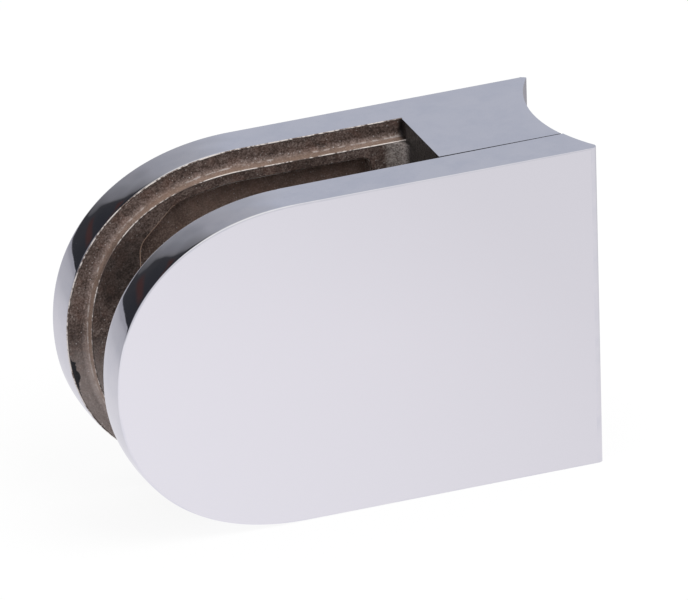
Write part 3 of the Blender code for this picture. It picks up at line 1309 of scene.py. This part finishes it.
        # Painted shade: nearly black on the slot's end wall
        end_shade_span = (end - self.end_shade_depth, end - self.end_shade_depth / 4)
        colour = lay(tree, colour, self.end_shade_colour, along, end_shade_span, (0.0, self.end_shade))
        rough = [self.roughness * share for share in self.rough_shares]
        low = add_node(tree, "Bump", {"Height": pits, "Distance": self.pit_height})
        surface = {
            "Base Color": self.hollow.lay(tree, place, pits, colour),
            "Metallic": self.metal,
            "Roughness": add_node(tree, "MapRange", (grit, *self.rough_span, *rough)),
            "Normal": add_node(tree, "Bump", {"Height": grit, "Distance": self.grit_height, "Normal": low}),
        }
        feed(tree.nodes["Principled BSDF"], surface)
        return material

    def with_sheen(self, tree: bpy.types.NodeTree, pits: Source, depth: Source, colour: Source) -> bpy.types.Node:
        """Paint a sheen on the scale from the border up to the land, and a broken highlight line along it.

        Args:
            tree: The node tree it goes in.
            pits: The noise that breaks the line.
            depth: How far from the middle of the slot.
            colour: The scale's colour.

        Returns:
            The lighter colour.
        """
        foot = SIZES.border_y
        rise = (foot, foot - self.sheen_height)
        lighter = lay(tree, colour, self.sheen_colour, depth, rise, (0.0, self.sheen))
        above = add_node(tree, "Math", (depth, foot - self.line_height), operation="SUBTRACT")
        off_line = add_node(tree, "Math", (above,), operation="ABSOLUTE")
        broken = add_node(tree, "MapRange", (pits, *self.line_span, 0.0, self.line))
        reach = (self.line_width / 2, self.line_width)
        return lay(tree, lighter, self.glint_colour, off_line, reach, (broken, 0.0))

    def with_glints(self, tree: bpy.types.NodeTree, place: Source, colour: Source) -> bpy.types.Node:
        """Scatter painted glints on bare grains in the scale, some cells of a Voronoi pattern, not all as
        bright.

        Args:
            tree: The node tree they go in.
            place: The Object coordinates.
            colour: The scale's colour.

        Returns:
            The colour with the glints.
        """
        cells = add_node(tree, "TexVoronoi", {"Vector": place, "Scale": 1 / self.glint})
        chance = add_node(tree, "SeparateColor", (cells.outputs["Color"],))
        chosen = add_node(tree, "MapRange", (chance, *self.glint_chance, 0.0, self.glints))
        return lay(tree, colour, self.glint_colour, cells, self.glint_span, (chosen, 0.0))


@dataclass(frozen=True)
class RubbedEdgeAndHighlight:
    """A cast edge that the polishing wheel just touched, with painted light on it.

    The eye sees a thin bright line on the side that faces the wheel, bare metal with a painted highlight,
    broken where scale is left, and beside it a dark line of painted shadow.
    """

    name: str = "rubbed_cast_edge_and_highlight"
    bare_highlight_colour: str = "#D8CFC9"
    scale_colour: str = "#6A5951"
    edge_shadow_colour: str = "#2A2422"
    grain: float = 0.45 * MM
    stretch: float = 5.0 * MM
    bare_span: Span = (0.86, 1.04)
    edge_shadow_reach: float = 0.045 * MM
    edge_shadow: float = 0.9
    dull_reach: Span = (10.0 * MM, 26.0 * MM)
    dull_depth: Span = (0.4 * MM, 0.8 * MM)
    dull: float = 0.12
    metal: float = 0.4
    roughness: float = 0.4

    def build(self) -> bpy.types.Material:
        """Make the finish.

        Returns:
            Its material.
        """
        material, tree, place = new_material(self.name)
        parts = add_node(tree, "SeparateXYZ", (place,)).outputs
        depth = add_node(tree, "Math", (parts["Y"],), operation="ABSOLUTE")
        # The land's edges get less of the painted highlight towards the nose
        along = [SIZES.nose_x + part for part in self.dull_reach]
        across = [SIZES.land_y + part for part in self.dull_depth]
        at_nose = add_node(tree, "MapRange", (parts["X"], *along, self.dull, 0.0))
        dull = add_node(tree, "MapRange", (depth, *across, at_nose, 0.0))
        grains = add_node(tree, "TexNoise", sized(place, self.grain, 2.0))
        stretches = add_node(tree, "TexNoise", sized(place, self.stretch, 1.0))
        both = add_node(tree, "Math", (grains, stretches), operation="ADD")
        bare = add_node(tree, "Math", (both, dull), operation="SUBTRACT")
        colour = lay(tree, linear(self.scale_colour), self.bare_highlight_colour, bare, self.bare_span)
        reach = (self.edge_shadow_reach / 2, self.edge_shadow_reach)
        # Painted shadow: a dark line where each edge meets the plane across Y below it
        for plane in (SIZES.border_y, SIZES.land_y, SIZES.cover_inner_y, SIZES.cover_land_y):
            beyond = add_node(tree, "Math", (parts["Y"], plane), operation="SUBTRACT")
            off = add_node(tree, "Math", (beyond,), operation="ABSOLUTE")
            colour = lay(tree, colour, self.edge_shadow_colour, off, reach, (self.edge_shadow, 0.0))
        surface = {"Base Color": colour, "Metallic": self.metal, "Roughness": self.roughness}
        feed(tree.nodes["Principled BSDF"], surface)
        return material


@dataclass(frozen=True)
class Fettled:
    """Stainless steel ground with a coarse wheel: the saddle and the holes.

    The eye sees a satin grey with faint brown hollows that the wheel left.
    """

    name: str = "fettled_stainless"
    metal_colour: str = "#B3B0B3"
    hollow_colour: str = "#857971"
    hollow: float = 1.6 * MM
    hollow_span: Span = (0.6, 0.76)
    grain: float = 0.25 * MM
    grain_height: float = 0.01 * MM
    grain_stretch: Triple = (0.15, 0.15, 1.0)
    roughness: float = 0.3
    hollow_rough: float = 1.6

    def build(self) -> bpy.types.Material:
        """Make the finish.

        Returns:
            Its material.
        """
        material, tree, place = new_material(self.name)
        # The wheel runs round the saddle, so its marks are long across and short along the post
        along = add_node(tree, "Mapping", {"Vector": place, "Scale": self.grain_stretch})
        grain = add_node(tree, "TexNoise", sized(along, self.grain, 2.0))
        hollows = add_node(tree, "TexNoise", sized(place, self.hollow, 4.0))
        rough = (hollows, *self.hollow_span, self.roughness, self.roughness * self.hollow_rough)
        surface = {
            "Base Color": lay(tree, linear(self.metal_colour), self.hollow_colour, hollows, self.hollow_span),
            "Metallic": 1.0,
            "Roughness": add_node(tree, "MapRange", rough),
            "Normal": add_node(tree, "Bump", {"Height": grain, "Distance": self.grain_height}),
        }
        feed(tree.nodes["Principled BSDF"], surface)
        return material


@dataclass(frozen=True)
class ScrewSteel:
    """Plain cold-headed stainless steel: a dull, even grey with faint turning marks."""

    name: str = "cold_headed_stainless"
    colour: str = "#B9B8BA"
    roughness: float = 0.26
    rough_shares: Span = (0.8, 1.3)
    ring: float = 0.3 * MM
    ring_height: float = 0.002 * MM

    def build(self) -> bpy.types.Material:
        """Make the finish.

        Returns:
            Its material.
        """
        material, tree, place = new_material(self.name)
        marks = add_node(tree, "TexNoise", sized(place, self.ring, 3.0))
        rough = [self.roughness * share for share in self.rough_shares]
        surface = {
            "Base Color": linear(self.colour),
            "Metallic": 1.0,
            "Roughness": add_node(tree, "MapRange", (marks, 0.0, 1.0, *rough)),
            "Normal": add_node(tree, "Bump", {"Height": marks, "Distance": self.ring_height}),
        }
        feed(tree.nodes["Principled BSDF"], surface)
        return material


@dataclass(frozen=True)
class Studio:
    """A pale floor, a pale room with one dark corner, a soft lamp and the camera.

    The floor and the room are white to the camera. What the polished metal mirrors is graded.
    """

    floor_width: float = 6.0
    lit_reach: float = 0.7
    lit_spot: Triple = (0.02, -0.06, 0.0)
    pool_stops: Stops = (
        (0.0, "#F1EFF5"),
        (0.14, "#EAE9EF"),
        (0.2, "#DFDEE5"),
        (0.31, "#C3C3CB"),
        (1.0, "#A6A6AF"),
    )
    front_way: Triple = (-0.6, -0.8, 0.0)
    front_reach: Span = (0.06, 0.16)
    front_colour: str = "#ECEBF1"
    tilt_reach: Span = (-0.02, 0.05)
    tilt_light: Span = (1.15, 0.99)
    back_reach: Span = (-0.012, 0.012)
    back_light: Span = (1.0, 0.83)
    paper_colour: str = "#F2F2F2"
    floor_share: float = 0.9
    # Compass angles from the back of the object, the dark corner between two of them
    wall_stops: Stops = (
        (-180.0, "#E6E5EC"),
        (-75.0, "#D8D8DE"),
        (-56.0, "#8A8A92"),
        (-50.0, "#2C2D33"),
        (-30.0, "#323338"),
        (-19.5, "#3A3A3E"),
        (-17.5, "#6E6E72"),
        (-14.0, "#7B7B81"),
        (-10.0, "#86878D"),
        (-3.0, "#A1A2AA"),
        (10.0, "#B1B3BC"),
        (20.0, "#BEC2CF"),
        (60.0, "#D0D2DC"),
        (120.0, "#E6E5EC"),
    )
    drape: float = 0.45
    drape_span: Span = (0.25, 0.75)
    waver: float = radians(8)
    shelf_levels: tuple[Span, ...] = ((12.0, 2.0), (30.0, 1.8))
    shelf_edges: tuple[float, ...] = (-1.6, -0.6, 0.6, 1.6)
    shelf_near: Span = (radians(-26), radians(-21))
    shelf_far: Span = (radians(-46), radians(-38))
    shelf_colour: str = "#443131"
    dome: Span = (0.72, 0.9)
    room_light: float = 0.85
    lamp_place: Triple = (0.35, -0.5, 1.1)
    lamp_width: float = 0.8
    lamp_power: float = 9.0
    camera_aim: Triple = (0.0025, -0.0001, 0.02414)
    camera_distance: float = 1.2933
    camera_azimuth: float = radians(20.392)
    camera_elevation: float = radians(25.282)
    camera_roll: float = radians(-1.886)
    camera_end: float = 20.0
    lens: float = 523.3
    sensor: float = 36.0

    def floor(self) -> None:
        """Lay the floor: white to the camera but for the shadow, and darker far off in reflections."""
        bpy.ops.mesh.primitive_plane_add(size=self.floor_width, location=(0.0, 0.0, 0.0))
        floor = bpy.context.object
        floor.name = "studio_floor"
        material, tree, place = new_material("white_paper")
        from_spot = add_node(tree, "VectorMath", (place, self.lit_spot), operation="DISTANCE")
        share = add_node(tree, "Math", (from_spot, self.lit_reach), operation="DIVIDE")
        pool = add_node(tree, "ValToRGB", (share,))
        set_stops(pool, self.pool_stops)
        # In front and to the left the paper stays light far off, for the rounded edges to mirror
        ahead = add_node(tree, "VectorMath", (place, self.front_way), operation="DOT_PRODUCT")
        pooled = lay(tree, pool, self.front_colour, ahead, self.front_reach)
        parts = add_node(tree, "SeparateXYZ", (place,)).outputs
        tilt = add_node(tree, "MapRange", (parts["X"], *self.tilt_reach, *self.tilt_light))
        behind = add_node(tree, "MapRange", (parts["Y"], *self.back_reach, *self.back_light))
        light = add_node(tree, "Math", (tilt, behind), operation="MULTIPLY")
        tilted = add_node(tree, "VectorMath", {0: pooled, "Scale": light}, operation="SCALE")
        rays = add_node(tree, "LightPath").outputs
        white = {0: rays["Is Camera Ray"], 6: tilted, 7: linear(WHITE)}
        seen = add_node(tree, "Mix", white, data_type="RGBA")
        glow = add_node(tree, "Emission", {"Color": seen, "Strength": 1.0})
        paper = add_node(tree, "BsdfDiffuse", {"Color": linear(self.paper_colour)})
        direct = add_node(tree, "Math", (rays["Is Camera Ray"], self.floor_share), operation="MULTIPLY")
        glowing = add_node(tree, "Math", (direct, rays["Is Glossy Ray"]), operation="MAXIMUM")
        mixed = add_node(tree, "MixShader", (glowing, paper, glow))
        tree.nodes.remove(tree.nodes["Principled BSDF"])
        feed(tree.nodes["Material Output"], {"Surface": mixed})
        floor.data.materials.append(material)

    def room(self) -> None:
        """Fill the room with light: white to the camera, and in reflections pale with a dark corner."""
        world = bpy.data.worlds.new("pale_room")
        bpy.context.scene.world = world
        world.use_nodes = True
        tree = world.node_tree
        tree.nodes.clear()
        way = add_node(tree, "TexCoord").outputs["Generated"]
        parts = add_node(tree, "SeparateXYZ", (way,)).outputs
        straight = add_node(tree, "Math", (parts["X"], parts["Y"]), operation="ARCTAN2")
        # The corner's edges hang in loose folds
        folds = add_node(tree, "TexNoise", sized(way, self.drape, 2.0, 0.6))
        waver = add_node(tree, "MapRange", (folds, *self.drape_span, -self.waver, self.waver))
        turn = add_node(tree, "Math", (straight, waver), operation="ADD")
        walls = add_node(tree, "ValToRGB", (add_node(tree, "MapRange", (turn, -pi, pi)),))
        set_stops(walls, [((angle + 180) / 360, colour) for angle, colour in self.wall_stops])
        shelves = {0: self.shelves(tree, parts["Z"], turn), 6: walls, 7: linear(self.shelf_colour)}
        furnished = add_node(tree, "Mix", shelves, data_type="RGBA")
        domed = lay(tree, furnished, WHITE, parts["Z"], self.dome)
        mirrored, plain, white = (
            add_node(tree, "Background", {"Color": colour, "Strength": strength})
            for colour, strength in ((domed, 1.0), (linear(WHITE), self.room_light), (linear(WHITE), 1.0))
        )
        rays = add_node(tree, "LightPath").outputs
        lit = add_node(tree, "MixShader", (rays["Is Glossy Ray"], plain, mirrored))
        final = add_node(tree, "MixShader", (rays["Is Camera Ray"], lit, white))
        add_node(tree, "OutputWorld", {"Surface": final})

    def shelves(self, tree: bpy.types.NodeTree, height: Source, turn: Source) -> bpy.types.Node:
        """Mark two brown shelves across the dark corner, which the rims mirror as streaks.

        Args:
            tree: The node tree they go in.
            height: The height of the way looked, from -1 to 1.
            turn: Its compass angle in radians.

        Returns:
            The share of shelf, from 0 to 1.
        """
        bands = add_node(tree, "ValToRGB", (height,))
        stops = [(0.0, BLACK)]
        for angle, half in self.shelf_levels:
            places = [sin(radians(angle + step * half)) for step in self.shelf_edges]
            stops += zip(places, (BLACK, WHITE, WHITE, BLACK))
        set_stops(bands, stops)
        near_side = add_node(tree, "MapRange", (turn, *self.shelf_near, 1.0, 0.0))
        inside = add_node(tree, "MapRange", (turn, *self.shelf_far, 0.0, near_side))
        return add_node(tree, "Math", (bands, inside), operation="MULTIPLY")

    def lamp(self) -> None:
        """Hang one soft lamp above and in front."""
        bpy.ops.object.light_add(type="AREA", location=self.lamp_place)
        lamp = bpy.context.object
        lamp.name = "soft_lamp"
        lamp.data.size = self.lamp_width
        lamp.data.energy = self.lamp_power
        aim = Vector(self.camera_aim) - Vector(self.lamp_place)
        lamp.rotation_euler = aim.to_track_quat("-Z", "Y").to_euler()
        lamp.visible_glossy = False

    def camera(self) -> None:
        """Set the camera up as the photograph's was."""
        turn = (
            Matrix.Rotation(-self.camera_azimuth, 3, "Z")
            @ Matrix.Rotation(pi / 2 - self.camera_elevation, 3, "X")
            @ Matrix.Rotation(self.camera_roll, 3, "Z")
        )
        bpy.ops.object.camera_add()
        camera = bpy.context.object
        camera.location = Vector(self.camera_aim) + turn @ Vector((0.0, 0.0, self.camera_distance))
        camera.rotation_euler = turn.to_euler()
        camera.data.sensor_width = self.sensor
        camera.data.lens = self.lens
        camera.data.clip_end = self.camera_end
        bpy.context.scene.camera = camera

    def build(self) -> None:
        """Set up the whole studio."""
        self.floor()
        self.room()
        self.lamp()
        self.camera()
        bpy.context.scene.view_settings.view_transform = "Standard"


def settle(piece: bpy.types.Object, node: str) -> None:
    """Put a finished piece on the clamp's body in a node's place.

    Args:
        piece: The finished piece.
        node: The construction node that it stands for.
    """
    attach(piece, "root")
    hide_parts(node)
    LOG.info("%s: %d faces", piece.name, len(piece.data.polygons))


def main() -> None:
    """Build the clamp's pieces and its studio."""
    logging.basicConfig(level=logging.INFO, format="%(name)s %(relativeCreated)d ms %(message)s")
    finishes = {
        Zone.WHEEL_POLISHED: MirrorPolish("wheel_polished_stainless").build(),
        Zone.HAND_BUFFED: MirrorPolish(
            "hand_buffed_stainless", roughness=0.05, wave=4.5 * MM, wave_height=0.07 * MM, clouds=0.3
        ).build(),
        Zone.AS_CAST: AsCast("as_cast_stainless").build(),
        Zone.CAST_ROUND: AsCast("as_cast_round_with_sheen", sheen=0.42).build(),
        Zone.RUBBED_EDGE: RubbedEdgeAndHighlight().build(),
        Zone.FETTLED: Fettled().build(),
    }
    screw_finish = ScrewSteel().build()
    settle(BaseJaw(finishes).build(), "base_jaw")
    settle(CoverJaw(finishes).build(), "cover_jaw")
    upper, lower = SCREWS
    upper_screw = upper.build(screw_finish)
    lower_screw = lower.copied(upper_screw, upper)
    settle(upper_screw, upper.node)
    settle(lower_screw, lower.node)
    Studio().build()


if __name__ == "__main__":
    main()
